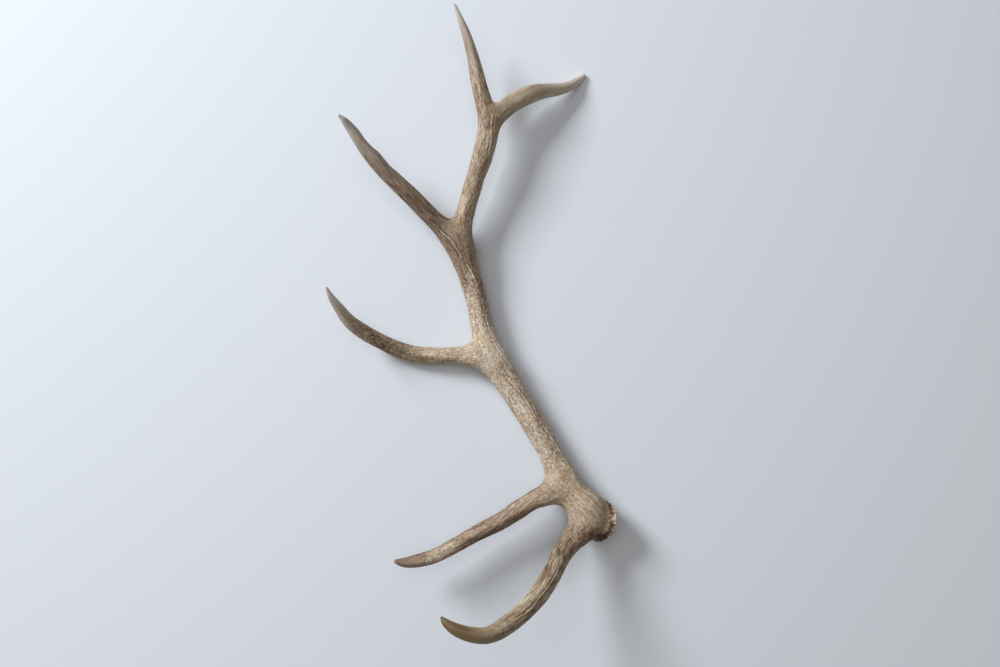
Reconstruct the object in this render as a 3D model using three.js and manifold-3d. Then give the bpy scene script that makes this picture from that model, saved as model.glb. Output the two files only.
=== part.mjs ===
// The shed antler of a large deer. One beam grows from a knobbly burr, carries four tines along
// its front and ends in a fork of two points. It lies on its outer side, with the tines curling
// up from the surface that it rests on. Units are millimetres, +Z is up and z = 0 is the surface.
//
// The antler is split at its forks. Each piece runs from the heart of one fork to the heart of
// the next, or to a tip, and its skin follows one rounded surface that flows through the forks.

import * as THREE from 'three';
import { mergeVertices } from 'three/addons/utils/BufferGeometryUtils.js';
import Module from 'manifold-3d';

// ---- Driving dimensions ----

// Stations on the middle line of each branch: x, y, height of the middle, thickness.
const BEAM_STATIONS = [
  [203, -349, 30, 46], // in the burr
  [184, -329, 37, 50], // brow fork
  [161, -308, 34, 48],
  [143, -278, 29, 39], // bez fork
  [122, -236, 26, 38],
  [94, -188, 25, 39],
  [63, -138, 26, 41],
  [36, -94.5, 27, 42], // trez fork
  [16.5, -47, 26, 36],
  [4.5, 6, 25, 34],
  [-7.5, 49, 26, 36],
  [-18, 85, 31, 36], // royal fork
  [-20, 121, 36, 33],
  [-12, 162, 41, 30],
  [1.5, 209, 46, 30],
  [15, 252, 50, 34.5],
  [24, 297, 53, 34], // last fork
  [17, 328, 55, 29],
  [7, 364, 58, 25],
  [-2, 403, 62, 20],
  [-13, 441, 69, 15],
  [-22, 464, 74, 10.5],
  [-32, 488, 80, 4], // top tip
];

// The beam's station at each fork.
const BROW_FORK = 1;
const BEZ_FORK = 3;
const TREZ_FORK = 7;
const ROYAL_FORK = 11;
const LAST_FORK = 16;

// Each tine starts in the heart of its fork, with the thickness of its root. Its web is how close
// the skins of tine and beam come before they round out into each other.
const BROW_WEB = 27;
const BROW_ROOT = 28;
const BROW_STATIONS = [
  [172, -359, 47, 40],
  [155, -374, 60, 35],
  [136.5, -392, 78, 31],
  [116, -420, 104, 29],
  [94, -443, 134, 28],
  [70, -459.5, 160, 27],
  [43.5, -472.5, 180, 25.5],
  [19, -479.5, 193, 22],
  [-4, -476, 200, 20],
  [-24, -467.5, 205, 16.5],
  [-37, -457.5, 208, 10],
  [-42, -451, 209, 3],
];
const BEZ_WEB = 26;
const BEZ_ROOT = 26;
const BEZ_STATIONS = [
  [121, -303.5, 38, 34.5],
  [96, -314, 45, 29],
  [67, -331, 48, 28.5],
  [37, -349.5, 48, 27],
  [4.5, -365.5, 48, 24.5],
  [-29, -384, 50, 23],
  [-60, -399, 53, 22],
  [-86, -405, 57, 20],
  [-107, -406.5, 62, 14.5],
  [-119, -404, 66, 6.5],
];
const TREZ_WEB = 26;
const TREZ_ROOT = 22;
const TREZ_STATIONS = [
  [0, -84, 24, 35],
  [-31, -82, 20, 27],
  [-64, -82, 15.5, 27],
  [-97, -80, 12.4, 27],
  [-127, -71, 16, 26],
  [-154, -59, 25, 25],
  [-178, -46, 40, 24],
  [-198, -30, 58, 21],
  [-212, -11, 78, 16],
  [-222, 5, 95, 10],
  [-227, 17, 105, 3.5],
];
const ROYAL_WEB = 24;
const ROYAL_ROOT = 26;
const ROYAL_STATIONS = [
  [-37, 109, 35, 34],
  [-55, 130, 39, 30.5],
  [-80, 154, 45, 28.5],
  [-104, 177, 52, 28.5],
  [-128, 198, 60, 27],
  [-151.5, 220, 70, 25.5],
  [-173, 243, 82, 21.5],
  [-190, 266, 95, 17.5],
  [-203, 281, 107, 11],
  [-211, 287, 115, 4.5],
];
const REAR_WEB = 13;
const REAR_ROOT = 22;
const REAR_STATIONS = [
  [38, 313.5, 52, 30],
  [55, 330.5, 49, 30],
  [76, 346, 44, 30.5],
  [98, 358, 37, 29],
  [121, 366, 29, 24],
  [142, 372, 21, 21],
  [162, 381, 13.5, 17],
  [176, 393, 7.5, 13],
  [188, 404, 3.2, 8],
];

const SEAM = 0.55; // how far each piece stops short of the heart of a fork
const LEAN_REACH = 95; // over this length the rings turn from lying on a seam to standing square

const SKIN_LIMIT = 60; // no ray from the middle of a branch looks further for the skin
const STEM_OVERRUN = 20; // the foot of the beam is made this much too long, then trimmed
const BLOCK = 3000; // larger than the whole antler, for trimming

const RING_STEP = 13;
const BEAM_SIDES = 20;
const TINE_SIDES = 15;
const TIP_LEANS = [0.6, 1.7]; // slopes of the rings that round a tip off

// Long shallow gutters run up every branch, turning slowly round it.
const GUTTERS = 5;
const GUTTER_DEPTH = 1.8;
const GUTTER_TWIST = 0.006; // radians per mm
const GUTTER_FADE = 45; // they die out over this length towards a tip

// The burr is a collar round the foot of the beam, with a rim of knobs and a domed shed face
// that leans down towards the surface.
const FACE_MIDDLE = [206.5, -349.5, 25];
const FACE_DIRECTION = [0.8, -0.24, -0.55];
const FACE_DOME = 4;
const FACE_SIDES = 24;
const COLLAR_RADIUS = 30;
const COLLAR_WIDTH = 10;
const RIM_KNOBS = 18;
const RIM_KNOB_RADIUS = 5;
const CROWN_KNOBS = 12;
const CROWN_KNOB_RADIUS = 4.2;
const KNOB_SEGMENTS = [7, 5];
const FOOT_SEGMENTS = [20, 12]; // the foot of the beam is rounded, then trimmed to the face

const HORN_COLOURS = { pale: 0xa8987c, tan: 0x9a886b, brown: 0x84715a, burr: 0xb2a48c };

// ---- Branches and the skin round them ----

const SAMPLES_PER_STATION = 6;

class Branch {
  constructor(stations, web = 0) {
    this.web = web;
    const middles = stations.map(([x, y, z]) => new THREE.Vector3(x, y, z));
    const radii = stations.map(([, , , thickness]) => new THREE.Vector3(thickness / 2, 0, 0));
    this.spans = stations.length - 1;
    this.middle = new THREE.CatmullRomCurve3(middles);
    this.middle.arcLengthDivisions = this.spans * SAMPLES_PER_STATION;
    this.thickness = new THREE.CatmullRomCurve3(radii, false, 'catmullrom');
    this.distances = this.middle.getLengths();
    this.samples = this.distances.map((_, i) => this.spotAt(i / (this.distances.length - 1)));
  }

  // The middle, the direction towards the tip and the radius at t, from 0 to 1 by station.
  spotAt(t) {
    return {
      point: this.middle.getPoint(t),
      forward: this.middle.getTangent(t),
      radius: this.thickness.getPoint(t).x,
    };
  }

  spotAtDistance(distance) {
    return this.spotAt(this.middle.getUtoTmapping(0, Math.min(distance, this.middle.getLength())));
  }

  distanceOf(station) {
    return this.distances[station * SAMPLES_PER_STATION];
  }

  // How far a point is outside this branch alone, negative inside it.
  clearance(point) {
    let nearest = Infinity;
    for (let i = 1; i < this.samples.length; i += 1) {
      const a = this.samples[i - 1];
      const b = this.samples[i];
      const abx = b.point.x - a.point.x;
      const aby = b.point.y - a.point.y;
      const abz = b.point.z - a.point.z;
      const apx = point.x - a.point.x;
      const apy = point.y - a.point.y;
      const apz = point.z - a.point.z;
      const along = (apx * abx + apy * aby + apz * abz) / (abx * abx + aby * aby + abz * abz);
      const t = THREE.MathUtils.clamp(along, 0, 1);
      const gap = Math.hypot(apx - t * abx, apy - t * aby, apz - t * abz);
      nearest = Math.min(nearest, gap - THREE.MathUtils.lerp(a.radius, b.radius, t));
    }
    return nearest;
  }
}

function tineFrom(forkStation, rootThickness, stations, web) {
  const [x, y, z] = BEAM_STATIONS[forkStation];
  return new Branch([[x, y, z, rootThickness], ...stations], web);
}

const beam = new Branch(BEAM_STATIONS);
const brow = tineFrom(BROW_FORK, BROW_ROOT, BROW_STATIONS, BROW_WEB);
const bez = tineFrom(BEZ_FORK, BEZ_ROOT, BEZ_STATIONS, BEZ_WEB);
const trez = tineFrom(TREZ_FORK, TREZ_ROOT, TREZ_STATIONS, TREZ_WEB);
const royal = tineFrom(ROYAL_FORK, ROYAL_ROOT, ROYAL_STATIONS, ROYAL_WEB);
const rear = tineFrom(LAST_FORK, REAR_ROOT, REAR_STATIONS, REAR_WEB);
const tines = [brow, bez, trez, royal, rear];

// How far a point is outside the whole antler, with each crotch rounded by its tine's web.
function skinClearance(point) {
  return tines.reduce((whole, tine) => {
    const own = tine.clearance(point);
    const overlap = Math.max(tine.web - Math.abs(whole - own), 0) / tine.web;
    return Math.min(whole, own) - (overlap * overlap * tine.web) / 4;
  }, beam.clearance(point));
}

// How far along a direction the skin lies from a point inside it.
function reachToSkin(origin, direction, limit) {
  const probe = new THREE.Vector3();
  let reach = 0;
  for (let step = 0; step < 80 && reach < limit; step += 1) {
    const inside = -skinClearance(probe.copy(direction).multiplyScalar(reach).add(origin));
    if (inside < 0.01) break;
    reach += inside;
  }
  return Math.min(reach, limit);
}

// ---- Pieces ----

// How much a ring leans along the branch, on the side that faces outward, to lie on the seams.
function seamLean(outward, forward, neighbours) {
  const leans = neighbours.map((other) => outward.dot(other) / (1 - forward.dot(other)));
  return Math.max(...leans);
}

function gutter(angle, distance, tipDistance) {
  const wave = Math.cos(GUTTERS * (angle + GUTTER_TWIST * distance));
  const fade = THREE.MathUtils.smoothstep(tipDistance, 0, GUTTER_FADE);
  return (GUTTER_DEPTH / 2) * wave * fade;
}

// A ring of skin at a distance along a branch. Its lean is a slope towards the tip for each
// direction outward, and a domed ring has the middle of its cap out on the skin.
function ringAt(branch, distance, lean = () => 0, domed = false) {
  return { ...branch.spotAtDistance(distance), distance, lean, domed };
}

function squareRings(branch, from, to) {
  const steps = Math.round((to - from) / RING_STEP);
  const places = Array.from({ length: steps + 1 }, (_, i) => from + ((to - from) * i) / steps);
  return places.map((distance) => ringAt(branch, distance));
}

// Rings from one fork or tip to the next, turned to lie on the seams at the forks.
function forkRings(branch, from, to, startNeighbours, endNeighbours) {
  const rings = squareRings(branch, from + SEAM, endNeighbours ? to - SEAM : to);
  const first = rings[0];
  const last = rings[rings.length - 1];
  const reach = Math.min(LEAN_REACH, last.distance - first.distance);
  const backward = last.forward.clone().negate();
  for (const ring of rings) {
    const startShare = Math.max(1 - (ring.distance - first.distance) / reach, 0);
    const endShare = Math.max(1 - (last.distance - ring.distance) / reach, 0);
    ring.lean = (angle) => {
      let lean = startShare * seamLean(outwardAt(first, angle), first.forward, startNeighbours);
      if (endNeighbours) {
        lean -= endShare * seamLean(outwardAt(last, angle), backward, endNeighbours);
      }
      return lean;
    };
  }
  return rings;
}

function tipRings(branch) {
  const end = branch.distanceOf(branch.spans);
  return TIP_LEANS.map((slope, i) => ringAt(branch, end, () => slope, i === TIP_LEANS.length - 1));
}

function outwardAt(ring, angle) {
  const side = new THREE.Vector3(0, 0, 1).cross(ring.forward).normalize().negate();
  const upper = side.clone().cross(ring.forward);
  return side.multiplyScalar(Math.cos(angle)).addScaledVector(upper, Math.sin(angle));
}

// A cylinder with one level for each ring, whose vertices are moved out to the skin.
function skinGeometry(branch, rings, sides) {
  const levels = rings.length - 1;
  const geometry = bareGeometry(new THREE.CylinderGeometry(1, 1, levels, sides, levels));
  const { position } = geometry.attributes;
  const vertex = new THREE.Vector3();
  for (let i = 0; i < position.count; i += 1) {
    vertex.fromBufferAttribute(position, i);
    const ring = rings[Math.round(vertex.y + levels / 2)];
    const onAxis = Math.hypot(vertex.x, vertex.z) < 0.5;
    vertex.copy(onAxis ? capMiddle(ring) : skinVertex(branch, ring, Math.atan2(vertex.z, vertex.x)));
    position.setXYZ(i, vertex.x, vertex.y, vertex.z);
  }
  return geometry;
}

function capMiddle(ring) {
  const rise = ring.domed ? reachToSkin(ring.point, ring.forward, ring.radius * 2) : 0;
  return ring.point.clone().addScaledVector(ring.forward, rise);
}

function skinVertex(branch, ring, angle) {
  const outward = outwardAt(ring, angle);
  const direction = outward.clone().addScaledVector(ring.forward, ring.lean(angle)).normalize();
  const tipDistance = branch.distanceOf(branch.spans) - ring.distance;
  const reach = reachToSkin(ring.point, direction, SKIN_LIMIT);
  return ring.point.clone()
    .addScaledVector(direction, reach + gutter(angle, ring.distance, tipDistance));
}

// ---- Solids ----

const wasm = await Module();
wasm.setup();

function bareGeometry(geometry) {
  geometry.deleteAttribute('normal');
  geometry.deleteAttribute('uv');
  return mergeVertices(geometry);
}

function toSolid(geometry) {
  const bare = bareGeometry(geometry.clone());
  return new wasm.Manifold(new wasm.Mesh({
    numProp: 3,
    vertProperties: bare.attributes.position.array,
    triVerts: Uint32Array.from(bare.index.array),
  }));
}

function toGeometry(solid) {
  const { vertProperties, triVerts } = solid.getMesh();
  const geometry = new THREE.BufferGeometry();
  geometry.setAttribute('position', new THREE.BufferAttribute(vertProperties, 3));
  geometry.setIndex(new THREE.BufferAttribute(triVerts, 1));
  geometry.computeVertexNormals();
  return geometry;
}

// Takes away everything on the side of a plane that its direction points to.
function trim(solid, point, direction) {
  const block = new THREE.BoxGeometry(BLOCK, BLOCK, BLOCK);
  block.applyQuaternion(new THREE.Quaternion().setFromUnitVectors(
    new THREE.Vector3(0, 0, 1), direction));
  const middle = point.clone().addScaledVector(direction, BLOCK / 2);
  return solid.subtract(toSolid(block.translate(middle.x, middle.y, middle.z)));
}

// ---- The burr ----

// A closed collar round the foot of the beam, standing on the domed face where it was shed.
function collarGeometry() {
  const profile = [
    [0, -FACE_DOME],
    [0.55 * COLLAR_RADIUS, -0.8 * FACE_DOME],
    [0.86 * COLLAR_RADIUS, -0.2 * FACE_DOME],
    [COLLAR_RADIUS, 0.2 * COLLAR_WIDTH],
    [0.93 * COLLAR_RADIUS, 0.65 * COLLAR_WIDTH],
    [0.7 * COLLAR_RADIUS, COLLAR_WIDTH],
    [0, COLLAR_WIDTH],
  ];
  return new THREE.LatheGeometry(profile.map(([r, h]) => new THREE.Vector2(r, h)), FACE_SIDES);
}

// Uneven knobs in a ring round the beam, at a height up from the face.
function knobRing(count, knobRadius, ringRadius, height) {
  return Array.from({ length: count }, (_, i) => {
    const angle = (i * 2 * Math.PI) / count;
    const swell = 1 + 0.22 * Math.sin(i * 2.4) + 0.1 * Math.sin(i * 5.1);
    const knob = new THREE.SphereGeometry(knobRadius * swell, ...KNOB_SEGMENTS);
    return knob.translate(
      ringRadius * Math.cos(angle), height + 1.5 * Math.sin(i * 3.7), ringRadius * Math.sin(angle));
  });
}

function burrSolid(fork) {
  const stemRings = squareRings(beam, 0, fork.distance + STEM_OVERRUN);
  const faceDirection = new THREE.Vector3(...FACE_DIRECTION).normalize();
  const standing = new THREE.Quaternion().setFromUnitVectors(
    new THREE.Vector3(0, -1, 0), faceDirection);
  const growths = [
    collarGeometry(),
    ...knobRing(RIM_KNOBS, RIM_KNOB_RADIUS, 0.95 * COLLAR_RADIUS, 0.3 * COLLAR_WIDTH),
    ...knobRing(CROWN_KNOBS, CROWN_KNOB_RADIUS, 0.82 * COLLAR_RADIUS, 0.95 * COLLAR_WIDTH),
  ];
  const { point, radius } = beam.spotAt(0);
  const foot = new THREE.SphereGeometry(radius, ...FOOT_SEGMENTS).translate(point.x, point.y, point.z);
  const stem = toSolid(skinGeometry(beam, stemRings, BEAM_SIDES)).add(toSolid(foot));
  let burr = trim(stem, new THREE.Vector3(...FACE_MIDDLE), faceDirection);
  for (const growth of growths) {
    growth.applyQuaternion(standing).translate(...FACE_MIDDLE);
    burr = burr.add(toSolid(growth));
  }
  const seamPoint = fork.heart.clone().addScaledVector(fork.down, SEAM);
  for (const neighbour of [fork.up, fork.tine]) {
    burr = trim(burr, seamPoint, neighbour.clone().sub(fork.down).normalize());
  }
  return burr;
}

// ---- The antler ----

function forkAt(station, tine) {
  const { point, forward } = beam.spotAt(station / beam.spans);
  return {
    heart: point,
    distance: beam.distanceOf(station),
    up: forward,
    down: forward.clone().negate(),
    tine: tine.spotAt(0).forward,
  };
}

function beamStretch(lower, upper) {
  const rings = forkRings(beam, lower.distance, upper.distance,
    [lower.down, lower.tine], [upper.up, upper.tine]);
  return toSolid(skinGeometry(beam, rings, BEAM_SIDES));
}

function pointFrom(branch, start, neighbours) {
  const rings = forkRings(branch, start, branch.distanceOf(branch.spans), neighbours, null);
  return toSolid(skinGeometry(branch, [...rings, ...tipRings(branch)], TINE_SIDES));
}

function tineFromFork(branch, fork) {
  return pointFrom(branch, 0, [fork.down, fork.up]);
}

const browFork = forkAt(BROW_FORK, brow);
const bezFork = forkAt(BEZ_FORK, bez);
const trezFork = forkAt(TREZ_FORK, trez);
const royalFork = forkAt(ROYAL_FORK, royal);
const lastFork = forkAt(LAST_FORK, rear);

const pieces = [
  ['burr', burrSolid(browFork), HORN_COLOURS.burr],
  ['brow_tine', tineFromFork(brow, browFork), HORN_COLOURS.brown],
  ['beam_base', beamStretch(browFork, bezFork), HORN_COLOURS.pale],
  ['bez_tine', tineFromFork(bez, bezFork), HORN_COLOURS.tan],
  ['lower_beam', beamStretch(bezFork, trezFork), HORN_COLOURS.tan],
  ['trez_tine', tineFromFork(trez, trezFork), HORN_COLOURS.brown],
  ['middle_beam', beamStretch(trezFork, royalFork), HORN_COLOURS.tan],
  ['royal_tine', tineFromFork(royal, royalFork), HORN_COLOURS.brown],
  ['upper_beam', beamStretch(royalFork, lastFork), HORN_COLOURS.brown],
  ['top_point', pointFrom(beam, lastFork.distance, [lastFork.down, lastFork.tine]),
    HORN_COLOURS.brown],
  ['rear_point', tineFromFork(rear, lastFork), HORN_COLOURS.pale],
];

const antler = new THREE.Group();
const restingPlane = new THREE.Vector3(0, 0, 0);
const downward = new THREE.Vector3(0, 0, -1);
for (const [name, solid, color] of pieces) {
  const material = new THREE.MeshStandardMaterial({ color, roughness: 0.7, metalness: 0 });
  const mesh = new THREE.Mesh(toGeometry(trim(solid, restingPlane, downward)), material);
  mesh.name = name;
  antler.add(mesh);
}

export default antler;
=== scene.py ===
import math

import bmesh
import bpy
import numpy as np
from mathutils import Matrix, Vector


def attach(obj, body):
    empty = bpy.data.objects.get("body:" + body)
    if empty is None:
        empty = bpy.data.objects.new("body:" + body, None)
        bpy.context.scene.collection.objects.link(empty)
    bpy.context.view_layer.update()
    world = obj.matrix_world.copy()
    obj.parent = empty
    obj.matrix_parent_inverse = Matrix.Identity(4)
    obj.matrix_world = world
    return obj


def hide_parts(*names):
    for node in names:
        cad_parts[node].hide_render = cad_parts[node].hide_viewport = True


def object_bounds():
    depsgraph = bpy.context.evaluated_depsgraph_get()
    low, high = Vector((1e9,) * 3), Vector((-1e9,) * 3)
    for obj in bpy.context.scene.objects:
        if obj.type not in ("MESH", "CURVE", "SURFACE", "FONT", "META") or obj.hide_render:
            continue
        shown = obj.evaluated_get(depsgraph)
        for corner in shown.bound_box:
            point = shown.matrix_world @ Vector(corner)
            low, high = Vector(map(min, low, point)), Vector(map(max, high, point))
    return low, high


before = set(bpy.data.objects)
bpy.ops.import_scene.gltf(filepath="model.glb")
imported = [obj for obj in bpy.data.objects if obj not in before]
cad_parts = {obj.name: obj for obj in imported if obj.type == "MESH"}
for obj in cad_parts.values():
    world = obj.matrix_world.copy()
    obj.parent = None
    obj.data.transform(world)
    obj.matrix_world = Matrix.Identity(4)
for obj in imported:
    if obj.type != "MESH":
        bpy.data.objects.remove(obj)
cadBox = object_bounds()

mm = 0.001


def linear(hexColour):
    parts = [int(hexColour[i:i + 2], 16) / 255 for i in (1, 3, 5)]
    return tuple(c / 12.92 if c <= 0.04045 else ((c + 0.055) / 1.055) ** 2.4 for c in parts) + (1.0,)


def addNode(tree, kind, settings=None, inputs=None, links=None):
    node = tree.nodes.new("ShaderNode" + kind)
    for name, value in (settings or {}).items():
        setattr(node, name, value)
    for name, value in (inputs or {}).items():
        node.inputs[name].default_value = value
    for name, socket in (links or {}).items():
        tree.links.new(socket, node.inputs[name])
    return node


def addRamp(tree, fac, stops):
    node = addNode(tree, "ValToRGB", links={"Fac": fac})
    elements = node.color_ramp.elements
    while len(elements) < len(stops):
        elements.new(0.5)
    for element, (place, colour) in zip(elements, stops):
        element.position = place
        element.color = linear(colour)
    return node


# a smooth random field for the bone's growth pattern
latticeSize = 8192  # a power of two
latticeValues = np.random.default_rng(41).uniform(-1, 1, latticeSize)
hashPrimes = (73856093, 19349663, 83492791, 40503)


def latticeNoise(coordinates, seed):
    cell = np.floor(coordinates).astype(np.int64)
    f = coordinates - cell
    f = f * f * f * (f * (f * 6 - 15) + 10)
    total = 0
    for corner in range(8):
        bits = np.array([corner & 1, corner >> 1 & 1, corner >> 2 & 1])
        c = cell + bits
        x, y, z = (c[:, axis] * hashPrimes[axis] for axis in range(3))
        key = x ^ y ^ z ^ (seed * hashPrimes[3])
        share = np.prod(np.where(bits == 1, f, 1 - f), axis=1)
        total = total + share * latticeValues[key & (latticeSize - 1)]
    return total


# How each branch grows. Stations on the middle line are x, y, height of the middle and thickness.
# Each look is a list of (share of the branch's length, amount): tone 0 is brown and 1 is pale,
# streaks run along the growth where speckles don't, rubbed is smooth polished horn and olive its hue.

beam = {
    "stations": [
        (203, -349, 30, 46),
        (184, -329, 37, 50),  # brow fork
        (161, -308, 34, 48),
        (143, -278, 29, 39),  # bez fork
        (122, -236, 26, 38),
        (94, -188, 25, 39),
        (63, -138, 26, 41),
        (36, -94.5, 27, 42),  # trez fork
        (16.5, -47, 26, 36),
        (4.5, 6, 25, 34),
        (-7.5, 49, 26, 36),
        (-18, 85, 31, 36),  # royal fork
        (-20, 121, 36, 33),
        (-12, 162, 41, 30),
        (1.5, 209, 46, 30),
        (15, 252, 50, 34.5),
        (24, 297, 53, 34),  # last fork
        (17, 328, 55, 29),
        (7, 364, 58, 25),
        (-2, 403, 62, 20),
        (-13, 441, 69, 15),
        (-22, 464, 74, 10.5),
        (-32, 488, 80, 4),
    ],
    "around": 36, "seed": 11,
    "tone": [(0, 0.62), (0.16, 0.66), (0.25, 0.74), (0.34, 0.77), (0.46, 0.55), (0.535, 0.45),
             (0.58, 0.47), (0.64, 0.53), (0.74, 0.53), (0.83, 0.45), (0.92, 0.54), (1, 0.7)],
    "streaks": [(0, 0.5), (0.12, 0.25), (0.35, 0.1), (0.5, 0.2), (0.6, 0.5), (0.8, 0.6), (1, 0.9)],
    "pearls": [(0, 0.8), (0.4, 1), (0.6, 0.8), (0.8, 0.6), (0.92, 0.2), (1, 0)],
    "rubbed": [(0, 0), (0.86, 0), (0.97, 0.8), (1, 1)],
    "olive": [(0, 0), (0.5, 0.1), (0.6, 0.4), (1, 0.1)],
}
brow = {
    "fork": 1, "root": 28, "web": 27,
    "stations": [
        (172, -359, 47, 40),
        (155, -374, 60, 35),
        (136.5, -392, 78, 31),
        (116, -420, 104, 29),
        (94, -443, 134, 28),
        (70, -459.5, 160, 27),
        (43.5, -472.5, 180, 25.5),
        (19, -479.5, 193, 22),
        (-4, -476, 200, 20),
        (-24, -467.5, 205, 16.5),
        (-37, -457.5, 208, 10),
        (-42, -451, 209, 3),
    ],
    "around": 32, "seed": 23,
    "tone": [(0, 0.55), (0.15, 0.38), (0.32, 0.4), (0.47, 0.44), (0.65, 0.5), (0.77, 0.38),
             (0.88, 0.22), (1, 0.2)],
    "streaks": [(0, 0.7), (0.3, 1), (0.6, 0.9), (0.75, 0.5), (1, 0)],
    "pearls": [(0, 0.5), (0.6, 0.7), (0.75, 1), (0.85, 0.4), (1, 0)],
    "rubbed": [(0, 0), (0.72, 0), (0.86, 1), (1, 1)],
    "olive": [(0, 0.1), (0.7, 0.5), (0.9, 1), (1, 1)],
}
bez = {
    "fork": 3, "root": 26, "web": 26,
    "stations": [
        (121, -303.5, 38, 34.5),
        (96, -314, 45, 29),
        (67, -331, 48, 28.5),
        (37, -349.5, 48, 27),
        (4.5, -365.5, 48, 24.5),
        (-29, -384, 50, 23),
        (-60, -399, 53, 22),
        (-86, -405, 57, 20),
        (-107, -406.5, 62, 14.5),
        (-119, -404, 66, 6.5),
    ],
    "around": 28, "seed": 37,
    "tone": [(0, 0.58), (0.22, 0.5), (0.4, 0.46), (0.6, 0.53), (0.78, 0.52), (0.9, 0.4), (1, 0.34)],
    "shadedFlanks": (0.2, 6),  # painted shade: how much darker its two sides are than its top, and how soon after its root
    "streaks": [(0, 0.5), (0.3, 0.8), (0.6, 0.7), (0.8, 0.3), (1, 0)],
    "pearls": [(0, 0.6), (0.5, 0.8), (0.75, 1), (0.9, 0.3), (1, 0)],
    "rubbed": [(0, 0), (0.84, 0), (0.95, 0.9), (1, 1)],
    "olive": [(0, 0.1), (0.8, 0.2), (1, 0.6)],
}
trez = {
    "fork": 7, "root": 22, "web": 26,
    "stations": [
        (0, -84, 24, 35),
        (-31, -82, 20, 27),
        (-64, -82, 15.5, 27),
        (-97, -80, 12.4, 27),
        (-127, -71, 16, 26),
        (-154, -59, 25, 25),
        (-178, -46, 40, 24),
        (-198, -30, 58, 21),
        (-212, -11, 78, 16),
        (-222, 5, 95, 10),
        (-227, 17, 105, 3.5),
    ],
    "around": 28, "seed": 53,
    "tone": [(0, 0.66), (0.22, 0.68), (0.4, 0.52), (0.55, 0.42), (0.7, 0.5), (0.8, 0.68),
             (0.92, 0.78), (1, 0.8)],
    "streaks": [(0, 0.5), (0.25, 0.3), (0.6, 0.15), (0.85, 0.6), (1, 1)],
    "pearls": [(0, 0.5), (0.4, 0.9), (0.7, 1), (0.85, 0.2), (1, 0)],
    "rubbed": [(0, 0), (0.74, 0), (0.9, 0.9), (1, 1)],
    "olive": [(0, 0.2), (0.3, 0.3), (0.8, 0.1), (1, 0)],
}
royal = {
    "fork": 11, "root": 26, "web": 24,
    "stations": [
        (-37, 109, 35, 34),
        (-55, 130, 39, 30.5),
        (-80, 154, 45, 28.5),
        (-104, 177, 52, 28.5),
        (-128, 198, 60, 27),
        (-151.5, 220, 70, 25.5),
        (-173, 243, 82, 21.5),
        (-190, 266, 95, 17.5),
        (-203, 281, 107, 11),
        (-211, 287, 115, 4.5),
    ],
    "around": 28, "seed": 71,
    "tone": [(0, 0.36), (0.2, 0.22), (0.4, 0.28), (0.6, 0.37), (0.78, 0.5), (0.92, 0.62),
             (0.96, 0.66), (0.985, 1.1), (1, 1.3)],
    "streaks": [(0, 0.7), (0.4, 1), (0.8, 0.9), (1, 0.5)],
    "pearls": [(0, 0.4), (0.5, 0.5), (0.8, 0.2), (0.92, 0), (1, 0)],
    "rubbed": [(0, 0.05), (0.4, 0.2), (0.7, 0.4), (0.88, 0.85), (1, 1)],
    "olive": [(0, 0), (1, 0)],
    "swells": [(0.62, 11, -1.2), (0.72, 10, 1.6), (0.82, 11, -1.0)],  # share, reach and height
}
rear = {
    "fork": 16, "root": 22, "web": 13,
    "stations": [
        (38, 313.5, 52, 30),
        (55, 330.5, 49, 30),
        (76, 346, 44, 30.5),
        (98, 358, 37, 29),
        (121, 366, 29, 24),
        (142, 372, 21, 21),
        (162, 381, 13.5, 17),
        (176, 393, 7.5, 13),
        (188, 404, 3.2, 8),
    ],
    "around": 28, "seed": 89,
    "tone": [(0, 0.5), (0.3, 0.58), (0.5, 0.58), (0.7, 0.66), (0.88, 0.72), (1, 0.9)],
    "streaks": [(0, 0.8), (1, 1)],
    "pearls": [(0, 0.3), (0.5, 0.3), (0.7, 0.1), (1, 0)],
    "rubbed": [(0, 0.2), (0.3, 0.5), (0.7, 0.9), (1, 1)],
    "olive": [(0, 0.5), (0.8, 0.5), (1, 0)],
}
tines = [brow, bez, trez, royal, rear]
branches = [beam] + tines

samplesPerStation = 8


def fourAround(values, share):
    # the two values on each side of a share of the way, and how far it is between the inner two
    last = len(values) - 1
    i = min(int(share * last), last - 1)
    before = values[i - 1] if i > 0 else 2 * values[0] - values[1]
    after = values[i + 2] if i + 2 <= last else 2 * values[last] - values[last - 1]
    return before, values[i], values[i + 1], after, share * last - i


def curveBetween(b, c, start, end, w):
    # from b to c, with the slope at its start and at its end
    return (b + start * w + (-3 * b + 3 * c - 2 * start - end) * w ** 2
            + (2 * b - 2 * c + start + end) * w ** 3)


def middleLine(points, share):
    # centripetal Catmull-Rom through the stations, as the solids have
    a, b, c, d, w = fourAround(points, share)
    dt = [max(np.linalg.norm(q - p) ** 0.5, 1e-6) for p, q in ((a, b), (b, c), (c, d))]
    start = ((b - a) / dt[0] - (c - a) / (dt[0] + dt[1]) + (c - b) / dt[1]) * dt[1]
    end = ((c - b) / dt[1] - (d - b) / (dt[1] + dt[2]) + (d - c) / dt[2]) * dt[1]
    return curveBetween(b, c, start, end, w)


def thicknessAt(values, share):
    a, b, c, d, w = fourAround(values, share)
    return curveBetween(b, c, (c - a) / 2, (d - b) / 2, w)


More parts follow.
